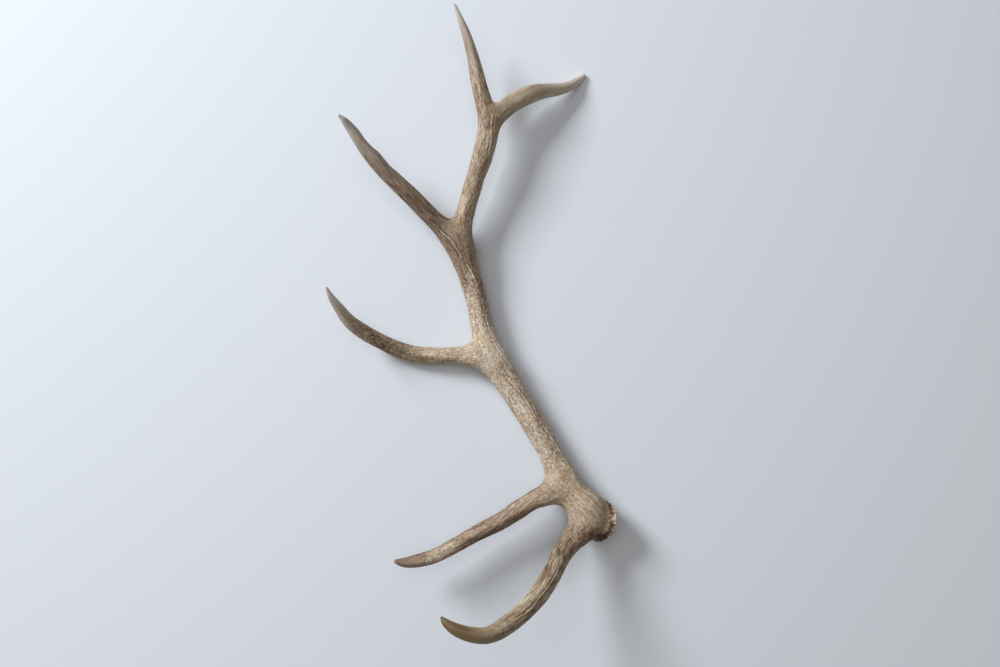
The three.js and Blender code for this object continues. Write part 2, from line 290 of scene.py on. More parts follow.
def traceBranch(branch):
    stations = [list(s) for s in branch["stations"]]
    if "fork" in branch:
        heart = beam["stations"][branch["fork"]]
        stations.insert(0, [*heart[:3], branch["root"]])
    rows = np.array(stations, float) * mm
    count = (len(rows) - 1) * samplesPerStation
    shares = np.arange(count + 1) / count
    points = np.array([middleLine(rows[:, :3], s) for s in shares])
    radii = np.array([thicknessAt(rows[:, 3], s) for s in shares]) / 2
    steps = np.diff(points, axis=0)
    distance = np.concatenate([[0], np.cumsum(np.linalg.norm(steps, axis=1))])
    nudge = 1e-4  # a small share of the branch, to find which way it heads
    ahead = np.array([middleLine(rows[:, :3], min(s + nudge, 1)) for s in shares])
    behind = np.array([middleLine(rows[:, :3], max(s - nudge, 0)) for s in shares])
    forward = ahead - behind
    forward /= np.linalg.norm(forward, axis=1)[:, None]
    side = np.cross(forward[0], (0, 0, 1.0))
    sides = []
    for f in forward:  # the side turns as little as it can, so the grooves don't twist
        side = side - f * (side @ f)
        side = side / np.linalg.norm(side)
        sides.append(side)
    sides = np.array(sides)
    branch.update(points=points, radii=radii, distance=distance, forward=forward, sides=sides,
                  uppers=np.cross(sides, forward), length=distance[-1],
                  starts=points[:-1], ends=points[1:], startRadii=radii[:-1], endRadii=radii[1:])


for branch in branches:
    traceBranch(branch)


searchReach = 90 * mm  # rods further away than this from a set of points are left out
farAway = 1.0
tiny = 1e-9


def nearestOn(rods, points):
    # clearance from a row of tapered rods, and where along and round it each point is
    a, b, ra, rb = rods["starts"], rods["ends"], rods["startRadii"], rods["endRadii"]
    low, high = points.min(0) - searchReach, points.max(0) + searchReach
    keep = np.flatnonzero(np.all((a > low) & (a < high), axis=1) | np.all((b > low) & (b < high), axis=1))
    if not len(keep):
        return None
    a, ab, ra, grow = a[keep], b[keep] - a[keep], ra[keep], rb[keep] - ra[keep]
    lengthSquared = (ab * ab).sum(1)
    dot = points @ ab.T - (a * ab).sum(1)
    fromStart = (points ** 2).sum(1)[:, None] - 2 * points @ a.T + (a * a).sum(1)
    raw = dot / lengthSquared
    t = np.clip(raw, 0, 1)
    squared = np.maximum(fromStart - 2 * t * dot + t * t * lengthSquared, 1e-14)
    clearance = np.sqrt(squared) - (ra + t * grow)
    best = clearance.argmin(1)
    rows = np.arange(len(points))
    t, raw, clearance = t[rows, best], raw[rows, best], clearance[rows, best]
    outward = points - a[best] - t[:, None] * ab[best]
    outward /= np.maximum(np.linalg.norm(outward, axis=1), tiny)[:, None]
    behind = np.where(keep[best] == 0, np.maximum(-raw, 0) * np.sqrt(lengthSquared[best]), 0)
    return {"clearance": clearance, "outward": outward, "segment": keep[best], "t": t, "behind": behind}


def blend(whole, outward, own, ownOutward, web):
    # joins two skins with a smooth web, and gives the second one's share of the result
    overlap = np.maximum(web - np.abs(whole - own), 0) / web
    share = np.where(own < whole, 1 - overlap / 2, overlap / 2)
    joined = np.minimum(whole, own) - overlap ** 2 * web / 4
    return joined, outward * (1 - share)[:, None] + ownOutward * share[:, None], share


def unit(vectors):
    return vectors / np.maximum(np.linalg.norm(vectors, axis=-1, keepdims=True), tiny)


# The burr: a domed collar at the foot of the beam, where the antler was shed, with knobs of bone
# fused round its rim and small pearls above them. Rows of knobs are how many, then foot and head
# as distance from the axis, height up from the rim of the face and radius.
crown = {
    "middle": (206, -350, 26.5), "direction": (0.77, -0.25, -0.58),
    "domeRadius": 75, "dome": 4, "radius": 28.5, "height": 6, "rounding": 6, "web": 14, "cutRounding": 4,
    "rows": [(29, (30.3, 0.5, 3.7), (29.6, 5.0, 2.7)), (31, (29.4, 4.5, 2.5), (28.2, 8.0, 1.7))],
    "knobWeb": 1.2, "unevenness": 0.32, "knobLift": 1.5, "knobTurn": 0.04,
    "pearlRows": [(34, 12, 1.3), (36, 15, 1.1)],  # how many, how far up, radius
    "pearlFoot": 7,  # the beam's middle line starts this far up
    "pearlSpread": 0.4, "pearlLift": 2, "pearlSizes": (0.6, 1.25), "pearlSunk": 0.3, "pearlLength": 1.5,
    "pearlHead": 0.8,
    "around": 60, "step": 2,  # how many points round it, and how far apart its rings are
    "nearby": 60,  # how far from its middle the skin is worked out with it
}
crownUp = -unit(np.array(crown["direction"], float))
crownSide = unit(np.cross(crownUp, (0, 0, 1.0)))
crownUpper = np.cross(crownSide, crownUp)
crownMiddle = np.array(crown["middle"]) * mm
domeMiddle = crownMiddle + crownUp * (crown["domeRadius"] - crown["dome"]) * mm
knobs = {}


def collarAt(points):
    # a disc with a domed face and rounded rim
    rel = points - crownMiddle
    height = rel @ crownUp
    radial = rel - np.outer(height, crownUp)
    domed = points - domeMiddle
    rounding = crown["rounding"] * mm
    whole, outward = np.linalg.norm(domed, axis=1) - crown["domeRadius"] * mm, unit(domed)
    for own, ownOutward in ((np.linalg.norm(radial, axis=1) - crown["radius"] * mm, unit(radial)),
                            (height - crown["height"] * mm, np.tile(crownUp, (len(points), 1)))):
        lower, outward, _ = blend(-whole, outward, -own, ownOutward, rounding)
        whole = -lower
    return whole, unit(outward), height / mm


def shedFace(points):
    # how far a point is beyond the domed face where the antler was shed
    rel = points - crownMiddle
    height = rel @ crownUp
    radial = np.linalg.norm(rel - np.outer(height, crownUp), axis=1) / (crown["radius"] * mm)
    return -height - crown["dome"] * mm * np.clip(1 - radial ** 2, 0, 1)


def skinAt(points):
    # The whole antler's skin: each tine flows into the beam within its web, and so does the burr.
    # Returns the clearance, the direction outward and each part's share of the skin there.
    found = [nearestOn(branch, points) for branch in branches]
    nearBurr = np.linalg.norm(points - crownMiddle, axis=1).min() < crown["nearby"] * mm
    whole = np.full(len(points), farAway)
    outward = np.zeros((len(points), 3))
    shares = np.zeros((len(branches) + 1, len(points)))
    for i, (branch, own) in enumerate(zip(branches, found)):
        if own is None:
            continue
        if i == 0:
            whole, outward = own["clearance"], own["outward"]
            if nearBurr:  # the foot of the beam ends at the shed face
                faceOutward = np.tile(-crownUp, (len(points), 1))
                lower, outward, _ = blend(-whole, outward, -shedFace(points), faceOutward,
                                          crown["cutRounding"] * mm)
                whole = -lower
            shares[0] = 1
            continue
        whole, outward, share = blend(whole, outward, own["clearance"], own["outward"], branch["web"] * mm)
        shares *= 1 - share
        shares[i] = share
    outward = unit(outward)
    burr = None
    if nearBurr:
        collar, collarOutward, height = collarAt(points)
        whole, outward, share = blend(whole, outward, collar, collarOutward, crown["web"] * mm)
        burr = {"proud": whole.copy(), "height": height}
        if knobs:
            knob = nearestOn(knobs, points)
            whole, outward, knobShare = blend(whole, unit(outward), knob["clearance"], knob["outward"],
                                              crown["knobWeb"] * mm)
            share = share + (1 - share) * knobShare
        outward = unit(outward)
        shares *= 1 - share
        shares[-1] = share
    return whole, outward, shares, found + [burr]


chunkWay = np.array([0.35, 1.0, 0.1])  # roughly along the beam, so each chunk's points lie close together


def inChunks(points, size=6000):
    order = np.argsort(points @ chunkWay, kind="stable")
    for i in range(0, len(order), size):
        yield order[i:i + size]


def reachToSkin(origins, directions, limit=60 * mm, steps=60, closeEnough=0.005 * mm):
    # how far each ray goes from inside the antler to its skin
    reach = np.zeros(len(origins))
    for active in inChunks(origins):
        for _ in range(steps):
            clearance = skinAt(origins[active] + directions[active] * reach[active, None])[0]
            reach[active] = np.minimum(reach[active] - clearance, limit)
            active = active[(np.abs(clearance) > closeEnough) & (reach[active] < limit)]
            if not len(active):
                break
    return reach


def spotAt(branch, distance):
    at = lambda values: np.array([np.interp(distance, branch["distance"], v) for v in values.T]).T
    forward = at(branch["forward"])
    forward /= np.linalg.norm(forward, axis=-1, keepdims=True)
    return at(branch["points"]), forward


def forkAt(tine):
    # how far along the beam it is, and which way its three branches leave it
    index = tine["fork"] * samplesPerStation
    up = beam["forward"][index]
    return {"distance": beam["distance"][index], "up": up, "down": -up, "tine": tine["forward"][0]}


forks = {"brow": forkAt(brow), "bez": forkAt(bez), "trez": forkAt(trez),
         "royal": forkAt(royal), "last": forkAt(rear)}


# Relief and pigment: sizes along the growth and across it, height, and pull on the shade. Where the
# bone is worn, two softer fields take over. Finer specks and streaks come from the material.
pattern = {
    "flutes": 5, "twist": 6.0, "fluteHeight": 0.45,  # how many, radians a metre, and height
    "folds": (34, 4.6, 0.30, 0.09), "strokes": (5.5, 1.9, 0.14, 0.08),
    "streaks": (20, 1.9, 0.12, 0.06), "pearls": (3.0, 2.4, 0.26, 0.11), "waves": (24, 12, 0.45, 0),
    "leastPearls": 0.3, "streaksOverSpecks": 0.3, "sway": 4, "thinnest": 4, "seedShift": 50,
    "wornFlutes": 0.35, "wornWaves": (45, 9, 0.12), "wornTint": (30, 4, 0.08), "clouds": (40, 12, 0.10),
    # raised ridge lines, with a gutter on each side
    "crest": 1.0, "crestHeight": 0.45, "crestShade": 0.36,
    "gutterAt": 2.6, "gutterWidth": 1.4, "gutterDepth": 0.3, "gutterShade": 0.16,
}
fieldKinds = ("folds", "strokes", "streaks", "pearls", "waves", "wornWaves", "wornTint", "clouds")
# fine raised lines that follow the growth from one branch into the next
ridgeLines = [
    [(-144, 196, 69), (-125, 179, 62), (-113, 166, 54), (-88, 145, 52), (-69, 132, 53), (-52, 116, 52),
     (-39, 104, 54), (-23, 81, 52), (-8, 59, 45), (3, 37, 42), (13, 11, 40), (20, -16, 40), (26, -42, 40),
     (39, -71, 44), (52, -91, 44), (75, -123, 35), (107, -187, 41), (133, -227, 39), (147, -251, 40)],
    [(29, -83, 50), (58, -123, 47), (78, -147, 44), (99, -179, 43), (120, -211, 42)],
    [(30, 318, 72), (29, 304, 71), (27, 286, 69), (28, 267, 67), (25, 254, 65), (22, 236, 63)],
    [(137, -392, 96), (124, -414, 115), (112, -427, 130), (99, -438, 147), (88, -448, 160), (77, -455, 170),
     (62, -461, 181), (49, -467, 190)],
    [(124, -383, 82), (117, -393, 90), (103, -413, 111), (94, -423, 124)],
]
samplesPerPoint = 6


def traceLine(line):
    rows = np.array(line, float) * mm
    count = (len(rows) - 1) * samplesPerPoint
    points = np.array([middleLine(rows, i / count) for i in range(count + 1)])
    noRadii = np.zeros(count)
    return {"starts": points[:-1], "ends": points[1:], "startRadii": noRadii, "endRadii": noRadii}


tracedLines = [traceLine(line) for line in ridgeLines]
# painted shade where the bone's hollows lie in shadow: x, y, height, reach and depth of the shade
paintedHollowShade = [(188, -371, 62, 12, 0.45), (200, -371, 48, 9, 0.5), (66, -107, 35, 5, 0.35)]


def mixAt(own, values):
    # a value between the two samples of a middle line that each point is nearest to
    k, t = own["segment"], own["t"]
    return values[k] + (values[k + 1] - values[k]) * (t if values.ndim == 1 else t[:, None])


slipLimit = 12 * mm  # the most that a bend may shift a point along its branch
leastStretch = 0.35


def distanceAlong(branch, own, points):
    # distance along the middle line, eased so that it runs evenly where the line bends
    k, forward, distance = own["segment"], branch["forward"], branch["distance"]
    rel = points - mixAt(own, branch["points"])
    bend = (forward[k + 1] - forward[k]) / (distance[k + 1] - distance[k])[:, None]
    slip = (rel * mixAt(own, forward)).sum(1) / np.maximum(1 - (rel * bend).sum(1), leastStretch)
    return mixAt(own, distance) + np.clip(slip, -slipLimit, slipLimit)


def growthOn(branch, own, points):
    # height of the relief in mm, then the looks, and the place along and across the growth in metres
    s = distanceAlong(branch, own, points)
    radius = np.maximum(mixAt(own, branch["radii"]), pattern["thinnest"] * mm)
    angle = np.arctan2((own["outward"] * mixAt(own, branch["uppers"])).sum(1),
                       (own["outward"] * mixAt(own, branch["sides"])).sum(1))
    share = s / branch["length"]
    look = lambda name: np.interp(share, *zip(*branch[name]))
    swayed = s + pattern["sway"] * mm * np.sin(angle * 2)
    place = np.stack([swayed, radius * np.cos(angle), radius * np.sin(angle)], 1)
    place = place + branch["seed"] * pattern["seedShift"] * mm

    def field(kind):
        along, across = pattern[kind][:2]
        seed = branch["seed"] + fieldKinds.index(kind)
        return latticeNoise(place / (np.array([along, across, across]) * mm), seed)

    rubbed, streaky = look("rubbed"), look("streaks")
    live = 1 - rubbed
    specked = 1 - pattern["streaksOverSpecks"] * streaky
    pearly = pattern["leastPearls"] + (1 - pattern["leastPearls"]) * look("pearls")
    strengths = {"folds": 1, "strokes": specked, "streaks": streaky, "pearls": pearly * specked, "waves": 1}
    flutes = np.cos(pattern["flutes"] * (angle + pattern["twist"] * s)) * pattern["fluteHeight"]
    height = flutes * (pattern["wornFlutes"] + (1 - pattern["wornFlutes"]) * live)
    height = height + rubbed * field("wornWaves") * pattern["wornWaves"][2]
    shade = look("tone") + rubbed * pattern["wornTint"][2] * field("wornTint")
    shade = shade + pattern["clouds"][2] * field("clouds")
    for kind, strength in strengths.items():
        rise, pull = pattern[kind][2:]
        wave = field(kind) * strength * live
        height = height + wave * rise
        shade = shade + wave * pull
    # painted shade: the two sides of a branch darker than its top
    flankShade, soon = branch.get("shadedFlanks", (0, 0))
    shade = shade - flankShade * np.cos(angle) ** 2 * np.clip(share * soon, 0, 1)
    for at, reach, rise in branch.get("swells", []):  # on one side of the branch
        swell = rise * np.exp(-((share - at) * branch["length"] / (reach * mm)) ** 2)
        height = height + swell * np.maximum(np.cos(angle), 0)
    return np.array([height, shade, rubbed, look("olive"), streaky]), place


burrRelief = {
    "rough": 3.2, "fine": 1.5,  # sizes of its two kinds of roughness
    "heights": (0.22, 0.12), "pulls": (0.14, 0.16), "faceHeight": 0.3, "facePulls": (0.25, 0.3),
    "faceShade": 0.42, "faceEdge": (1.5, 3),  # how high the face's look ends, and how softly
    "neckShade": 0.55, "neckEdge": (8, 4),  # painted shadow lies only between the knobs, below this height
    "paintedGapShadow": -0.15, "proud": 3.0, "proudCurve": 1.2,  # knobs this proud are fully pale
    "seedShift": 90,
}


def growthOnBurr(burr, points):
    rough = latticeNoise(points / (burrRelief["rough"] * mm) + burrRelief["seedShift"], 3)
    fine = latticeNoise(points / (burrRelief["fine"] * mm) + burrRelief["seedShift"], 4)
    both = lambda name: burrRelief[name][0] * rough + burrRelief[name][1] * fine
    faceEdge, faceSoftness = burrRelief["faceEdge"]
    neckEdge, neckSoftness = burrRelief["neckEdge"]
    onFace = np.clip((faceEdge - burr["height"]) / faceSoftness, 0, 1)
    proud = np.clip(burr["proud"] / (burrRelief["proud"] * mm), 0, 1)
    height = both("heights") + onFace * burrRelief["faceHeight"] * rough
    neck = burrRelief["neckShade"] * np.clip((burr["height"] - neckEdge) / neckSoftness, 0, 1)
    # painted shadow: low on the neck, the bone between the knobs goes dark where it stands least proud
    gap = neck + burrRelief["paintedGapShadow"]
    shade = gap + (1 - gap) * proud ** burrRelief["proudCurve"] + both("pulls")
    shade = shade * (1 - onFace) + (burrRelief["faceShade"] + both("facePulls")) * onFace
    return np.array([height, shade, 0 * height, 0 * height, 0 * height])


looksKept = ("shade", "rubbed", "olive", "streaky", "tineShare")
placesKept = ("beamPlace", "tinePlace")
leastShare, leastWeight = 1e-4, 1e-6
fadeBehind = 8 * mm  # how soon a tine's look fades inside the beam, behind its root


def growthAt(points, shares, found):
    # height of the relief, the looks in looksKept, and the places along the beam and the nearest tine
    totals = np.zeros((5, len(points)))  # height, shade, rubbed, olive and streaky
    weights, tineWeight, best = (np.zeros(len(points)) for _ in range(3))
    beamPlace, tinePlace = np.zeros((len(points), 3)), np.zeros((len(points), 3))
    for branch, own, share in zip(branches, found, shares):
        if own is None or share.max() < leastShare:
            continue
        weight = share * np.exp(-(own["behind"] / fadeBehind) ** 2)
        growth, place = growthOn(branch, own, points)
        totals += weight * growth
        weights += weight
        if branch is beam:
            beamPlace = place
            continue
        tineWeight += weight
        tinePlace = np.where((weight > best)[:, None], place, tinePlace)
        best = np.maximum(best, weight)
    tineShare = tineWeight / np.maximum(weights, leastWeight)
    if found[-1] is not None:
        totals += shares[-1] * growthOnBurr(found[-1], points)
        weights += shares[-1]
    height, shade, rubbed, olive, streaky = totals / np.maximum(weights, leastWeight)
    # painted shade: darker round each listed hollow
    for x, y, z, reach, depth in paintedHollowShade:
        shade = shade - depth * np.exp(-((points - np.array([x, y, z]) * mm) ** 2).sum(1) / (reach * mm) ** 2)
    for line in tracedLines:
        near = nearestOn(line, points)
        if near is None:
            continue
        gap = near["clearance"] / mm
        along = (near["segment"] + near["t"]) / samplesPerPoint
        fade = np.clip(along, 0, 1) * np.clip(len(line["starts"]) / samplesPerPoint - along, 0, 1)
        crest = np.exp(-(gap / pattern["crest"]) ** 2) * fade
        gutter = np.exp(-((gap - pattern["gutterAt"]) / pattern["gutterWidth"]) ** 2) * fade
        height = height + crest * pattern["crestHeight"] - gutter * pattern["gutterDepth"]
        shade = shade + pattern["crestShade"] * crest - pattern["gutterShade"] * gutter
    return height, (shade, rubbed, olive, streaky, tineShare), (beamPlace, tinePlace)


def storeAttribute(mesh, name, kind, slot, values):
    attribute = mesh.attributes.new(name, kind, "POINT")
    attribute.data.foreach_set(slot, values.astype(np.float32).ravel())


def settleOnSkin(mesh, onSkin, rounds=3):
    # moves a piece's points onto the skin, raises the relief and stores the looks as attributes
    co = np.empty(len(mesh.vertices) * 3)
    mesh.vertices.foreach_get("co", co)
    co = co.reshape(-1, 3)
    looks = np.zeros((len(looksKept), len(co)))
    places = np.zeros((len(placesKept), len(co), 3))
    indexes = np.flatnonzero(onSkin)
    for part in inChunks(co[indexes]):
        chosen = indexes[part]
        points = co[chosen]
        for _ in range(rounds):
            clearance, outward = skinAt(points)[:2]
            points = points - outward * clearance[:, None]
        _, outward, shares, found = skinAt(points)
        height, looks[:, chosen], places[:, chosen] = growthAt(points, shares, found)
        co[chosen] = points + outward * (height * mm)[:, None]
    co = np.clip(co, *(np.array(corner) for corner in cadBox))  # the underside rests on the surface
    mesh.vertices.foreach_set("co", co.ravel())
    for name, values in zip(looksKept, looks):
        storeAttribute(mesh, name, "FLOAT", "value", values)
    for name, values in zip(placesKept, places):
        storeAttribute(mesh, name, "FLOAT_VECTOR", "vector", values)
    mesh.update()


def ringFrame(forward):
    side = unit(np.cross(forward, (0, 0, 1.0)))
    return side, np.cross(side, forward)


def outwardRound(forward, angles):
    side, upper = ringFrame(forward)
    return np.outer(np.cos(angles), side) + np.outer(np.sin(angles), upper)


def cornerAngle(forward, towards, neighbours):
    # the way from a fork's heart to where this piece's two seams meet
    side, upper = ringFrame(forward)
    a, b = (other / (1 - towards @ other) for other in neighbours)
    return math.atan2(-(a - b) @ side, (a - b) @ upper)


def seamLean(outward, forward, neighbours):
    return np.max([outward @ other / (1 - forward @ other) for other in neighbours], axis=0)


leanReach = 95 * mm  # how far from a fork its lean fades out
# how steeply the rays lean backwards over the shed face, and forwards round a tip
faceSlopes = (4.5, 2.6, 1.8, 1.3, 1.0, 0.78, 0.62, 0.5, 0.38, 0.25, 0.12)
tipSlopes = (0.5, 1.2, 2.6)


def makeRings(branch, start, end, startNeighbours, endNeighbours, sides, step):
    # Rays for rings from one fork or tip to the next, leaning at the forks to lie on the seams.
    # A corner of the ring lies where two seams meet, so that three pieces close without a gap.
    count = max(int(round((end - start) / step)), 2)
    distances = np.linspace(start, end, count + 1)
    points, forwards = spotAt(branch, distances)
    turn = 2 * math.pi / sides
    angles = np.arange(sides) * turn
    reach = min(leanReach, end - start)
    startTurn = endTurn = startLean = endLean = None
    if startNeighbours:
        startTurn = cornerAngle(forwards[0], forwards[0], startNeighbours) % turn
    if endNeighbours:
        endTurn = cornerAngle(forwards[-1], -forwards[-1], endNeighbours) % turn
    startTurn = endTurn if startTurn is None else startTurn
    endTurn = startTurn if endTurn is None else endTurn
    endTurn += turn * round((startTurn - endTurn) / turn)
    if startNeighbours:
        startLean = seamLean(outwardRound(forwards[0], angles + startTurn), forwards[0], startNeighbours)
    if endNeighbours:
        endLean = seamLean(outwardRound(forwards[-1], angles + endTurn), -forwards[-1], endNeighbours)
    origins, directions = [], []

    def addRing(point, directionsOut):
        origins.append(np.tile(point, (sides, 1)))
        directions.append(unit(directionsOut))

    if not startNeighbours:
        for slope in faceSlopes:
            addRing(points[0], outwardRound(forwards[0], angles + startTurn) - slope * forwards[0])
    for distance, point, forward in zip(distances, points, forwards):
        along = (distance - start) / (end - start)
        direction = outwardRound(forward, angles + startTurn + (endTurn - startTurn) * along)
        if startNeighbours:
            direction = direction + np.outer(startLean * max(1 - (distance - start) / reach, 0), forward)
        if endNeighbours:
            direction = direction - np.outer(endLean * max(1 - (end - distance) / reach, 0), forward)
        addRing(point, direction)
    if not endNeighbours:
        for slope in tipSlopes:
            addRing(points[-1], outwardRound(forwards[-1], angles + endTurn) + slope * forwards[-1])
    return np.array(origins), np.array(directions), points, forwards


def makeCage(places, ends, capped):
    # a closed tube through rings of points, with a middle point on each end
    levels, sides = len(places) - 1, len(places[0])
    bm = bmesh.new()
    bmesh.ops.create_cone(bm, cap_ends=True, cap_tris=True, segments=sides,
                          radius1=1, radius2=1, depth=levels)
    upright = [e for e in bm.edges if abs(e.verts[0].co.z - e.verts[1].co.z) > 0.5]
    bmesh.ops.subdivide_edges(bm, edges=upright, cuts=levels - 1, use_grid_fill=True)
    cap = bm.verts.layers.float.new("cap")
    for v in bm.verts:
        level = int(round(v.co.z + levels / 2))
        if math.hypot(v.co.x, v.co.y) < 0.5:
            end = 0 if level == 0 else 1
            v.co = ends[end]
            v[cap] = float(capped[end])
        else:
            v.co = places[level, int(round(math.atan2(v.co.y, v.co.x) / (2 * math.pi) * sides)) % sides]
    bmesh.ops.recalc_face_normals(bm, faces=bm.faces)
    return bm


def growPiece(name, branch, start, end, startNeighbours, endNeighbours, sides, step=3.4 * mm):
    # one closed piece of the skin, from one fork, tip or shed face to the next
    origins, directions, points, forwards = makeRings(branch, start, end, startNeighbours, endNeighbours,
                                                      sides, step)
    reach = reachToSkin(origins.reshape(-1, 3), directions.reshape(-1, 3)).reshape(len(origins), sides)
    first, last = points[0], points[-1]
    if not startNeighbours:
        first = first - forwards[0] * reachToSkin(first[None], -forwards[:1])[0]
    if not endNeighbours:
        last = last + forwards[-1] * reachToSkin(last[None], forwards[-1:])[0]
    bm = makeCage(origins + directions * reach[..., None], (first, last),
                  (bool(startNeighbours), bool(endNeighbours)))
    cap = bm.verts.layers.float["cap"]
    edgeCrease = bm.edges.layers.float.new("crease_edge")
    vertexCrease = bm.verts.layers.float.new("crease_vert")
    for v in bm.verts:
        if v[cap] > 0.5:  # the seam keeps its sharp edge
            for f in v.link_faces:
                for e in f.edges:
                    e[edgeCrease], e.smooth = 1.0, False
                for corner in f.verts:
                    corner[vertexCrease] = 1.0
    mesh = bpy.data.meshes.new(name)
    bm.to_mesh(mesh)
    bm.free()
    mesh.shade_smooth()
    piece = bpy.data.objects.new(name, mesh)
    bpy.context.scene.collection.objects.link(piece)
    finer = piece.modifiers.new("finer", "SUBSURF")
    finer.levels = finer.render_levels = 2
    dense = bpy.data.meshes.new_from_object(piece.evaluated_get(bpy.context.evaluated_depsgraph_get()))
    piece.modifiers.clear()
    piece.data = dense
    dense.name = name
    onCap = np.empty(len(dense.vertices))
    dense.attributes["cap"].data.foreach_get("value", onCap)
    settleOnSkin(dense, onCap < leastShare)
    return piece


def dress(piece, node, material):
    piece.data.materials.clear()
    piece.data.materials.append(material)
    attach(piece, "root")
    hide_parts(node)


boneLook = {
    "ridges": [(0.0, "#3f2d1f"), (0.2, "#6b533e"), (0.45, "#917c66"), (0.7, "#b5a38d"), (1.0, "#dacfbd")],
    "oliveRidges": [(0.0, "#3d2f1e"), (0.2, "#66533b"), (0.45, "#8b7b60"), (0.7, "#aea085"),
                    (1.0, "#d5ccb6")],
    "horn": [(0.1, "#716155"), (0.5, "#97897d"), (0.9, "#d2cac0")],
    "oliveHorn": [(0.1, "#5f4629"), (0.5, "#928060"), (0.9, "#d0c8b2")],
    # specks and streaks: length along the growth, width and pull on the shade
    "speckle": (3.6, 2.1, 2.0), "streak": (14, 1.1, 2.2),
    "pore": (1.1, 0.2), "stain": (45, 0.3),  # size and pull on the shade
    # reddish bark stain, left in patches
    "rust": "#e3c39f", "rustPatch": 24, "rustEdge": (0.5, 0.7), "rustStrength": 0.5,
    "bump": 0.45, "bumpStrength": 0.7, "roughness": (0.7, 0.4), "ior": 1.5,  # dull bone, polished horn
    "noiseDetail": 2.0, "patchDetail": 3.0,
}


def makeBone(name, look):
    material = bpy.data.materials.new(name)
    material.use_nodes = True
    tree = material.node_tree
    tree.nodes.clear()

    def noise(size, vector, detail="noiseDetail"):
        return addNode(tree, "TexNoise", inputs={"Scale": 1 / size, "Detail": look[detail]},
                       links={"Vector": vector}).outputs["Fac"]

    # a Mix node's A and B are its sockets 2 and 3 for a number, and 6 and 7 for a colour
    def mixed(factor, a, b):
        return addNode(tree, "Mix", links={"Factor": factor, 2: a, 3: b}).outputs[0]

    def worked(operation, values=None, links=None):
        return addNode(tree, "Math", {"operation": operation}, values, links).outputs[0]

    def tinted(factor, a, b):
        return addNode(tree, "Mix", {"data_type": "RGBA"}, links={"Factor": factor, 6: a, 7: b}).outputs[2]

    shade, rubbed, olive, streaky, tineShare = (
        addNode(tree, "Attribute", {"attribute_name": attribute}).outputs["Fac"] for attribute in looksKept)
    grains = {}
    for kind in ("speckle", "streak"):
        length, width, pull = look[kind]
        scale = [1 / (size * mm) for size in (length, width, width)]
        sides = []
        for attribute in placesKept:
            place = addNode(tree, "Attribute", {"attribute_name": attribute}).outputs["Vector"]
            stretched = addNode(tree, "Mapping", inputs={"Scale": scale}, links={"Vector": place})
            sides.append(noise(1, stretched.outputs["Vector"]))
        centred = worked("SUBTRACT", {1: 0.5}, {0: mixed(tineShare, *sides)})
        grains[kind] = worked("MULTIPLY", {1: pull}, {0: centred})
    grain = mixed(streaky, grains["speckle"], grains["streak"])
    place = addNode(tree, "TexCoord").outputs["Object"]
    total = worked("SUBTRACT", {1: (look["pore"][1] + look["stain"][1]) / 2}, {0: shade})
    for size, pull in (look["pore"], look["stain"]):
        total = worked("MULTIPLY_ADD", {1: pull}, {0: noise(size * mm, place), 2: total})
    total = worked("ADD", links={0: total, 1: grain})
    unrubbed = worked("SUBTRACT", {0: 1.0}, {1: rubbed})
    calm = mixed(rubbed, total, shade)  # rubbed horn has hardly any grain left
    ramped = {stops: addRamp(tree, calm, look[stops]).outputs["Color"]
              for stops in ("ridges", "oliveRidges", "horn", "oliveHorn")}
    colour = tinted(rubbed, tinted(olive, ramped["ridges"], ramped["oliveRidges"]),
                    tinted(olive, ramped["horn"], ramped["oliveHorn"]))
    low, high = look["rustEdge"]
    patches = addNode(tree, "MapRange", links={"Value": noise(look["rustPatch"] * mm, place, "patchDetail")},
                      inputs={"From Min": low, "From Max": high, "To Max": look["rustStrength"]})
    patches = worked("MULTIPLY", links={0: patches.outputs[0], 1: unrubbed})
    stained = addNode(tree, "Mix", {"data_type": "RGBA", "blend_type": "MULTIPLY"},
                      {7: linear(look["rust"])}, {"Factor": patches, 6: colour})
    dull, polished = look["roughness"]
    roughness = addNode(tree, "MapRange", inputs={"To Min": dull, "To Max": polished},
                        links={"Value": rubbed})
    bump = addNode(tree, "Bump", inputs={"Strength": look["bumpStrength"], "Distance": look["bump"] * mm},
                   links={"Height": worked("MULTIPLY", links={0: grain, 1: unrubbed})})
    bone = addNode(tree, "BsdfPrincipled", inputs={"IOR": look["ior"]},
                   links={"Base Color": stained.outputs[2], "Roughness": roughness.outputs[0],
                          "Normal": bump.outputs[0]})
    addNode(tree, "OutputMaterial", links={"Surface": bone.outputs[0]})
    return material


# Weathered antler bone: hard, matt and grooved, stained brown by bark sap in its grooves and pale
# where it stands proud. Towards the tips it is rubbed to smooth horn with a low sheen.
antlerBone = makeBone("weatheredAntlerBone", boneLook)
# Burr bone: knobbly, pale and dry, with painted shadow between the knobs.
burrBone = makeBone("knobblyBurrBone", {**boneLook, "speckle": (2.4, 1.8, 0.4), "bump": 0.6})
print("bone materials made")


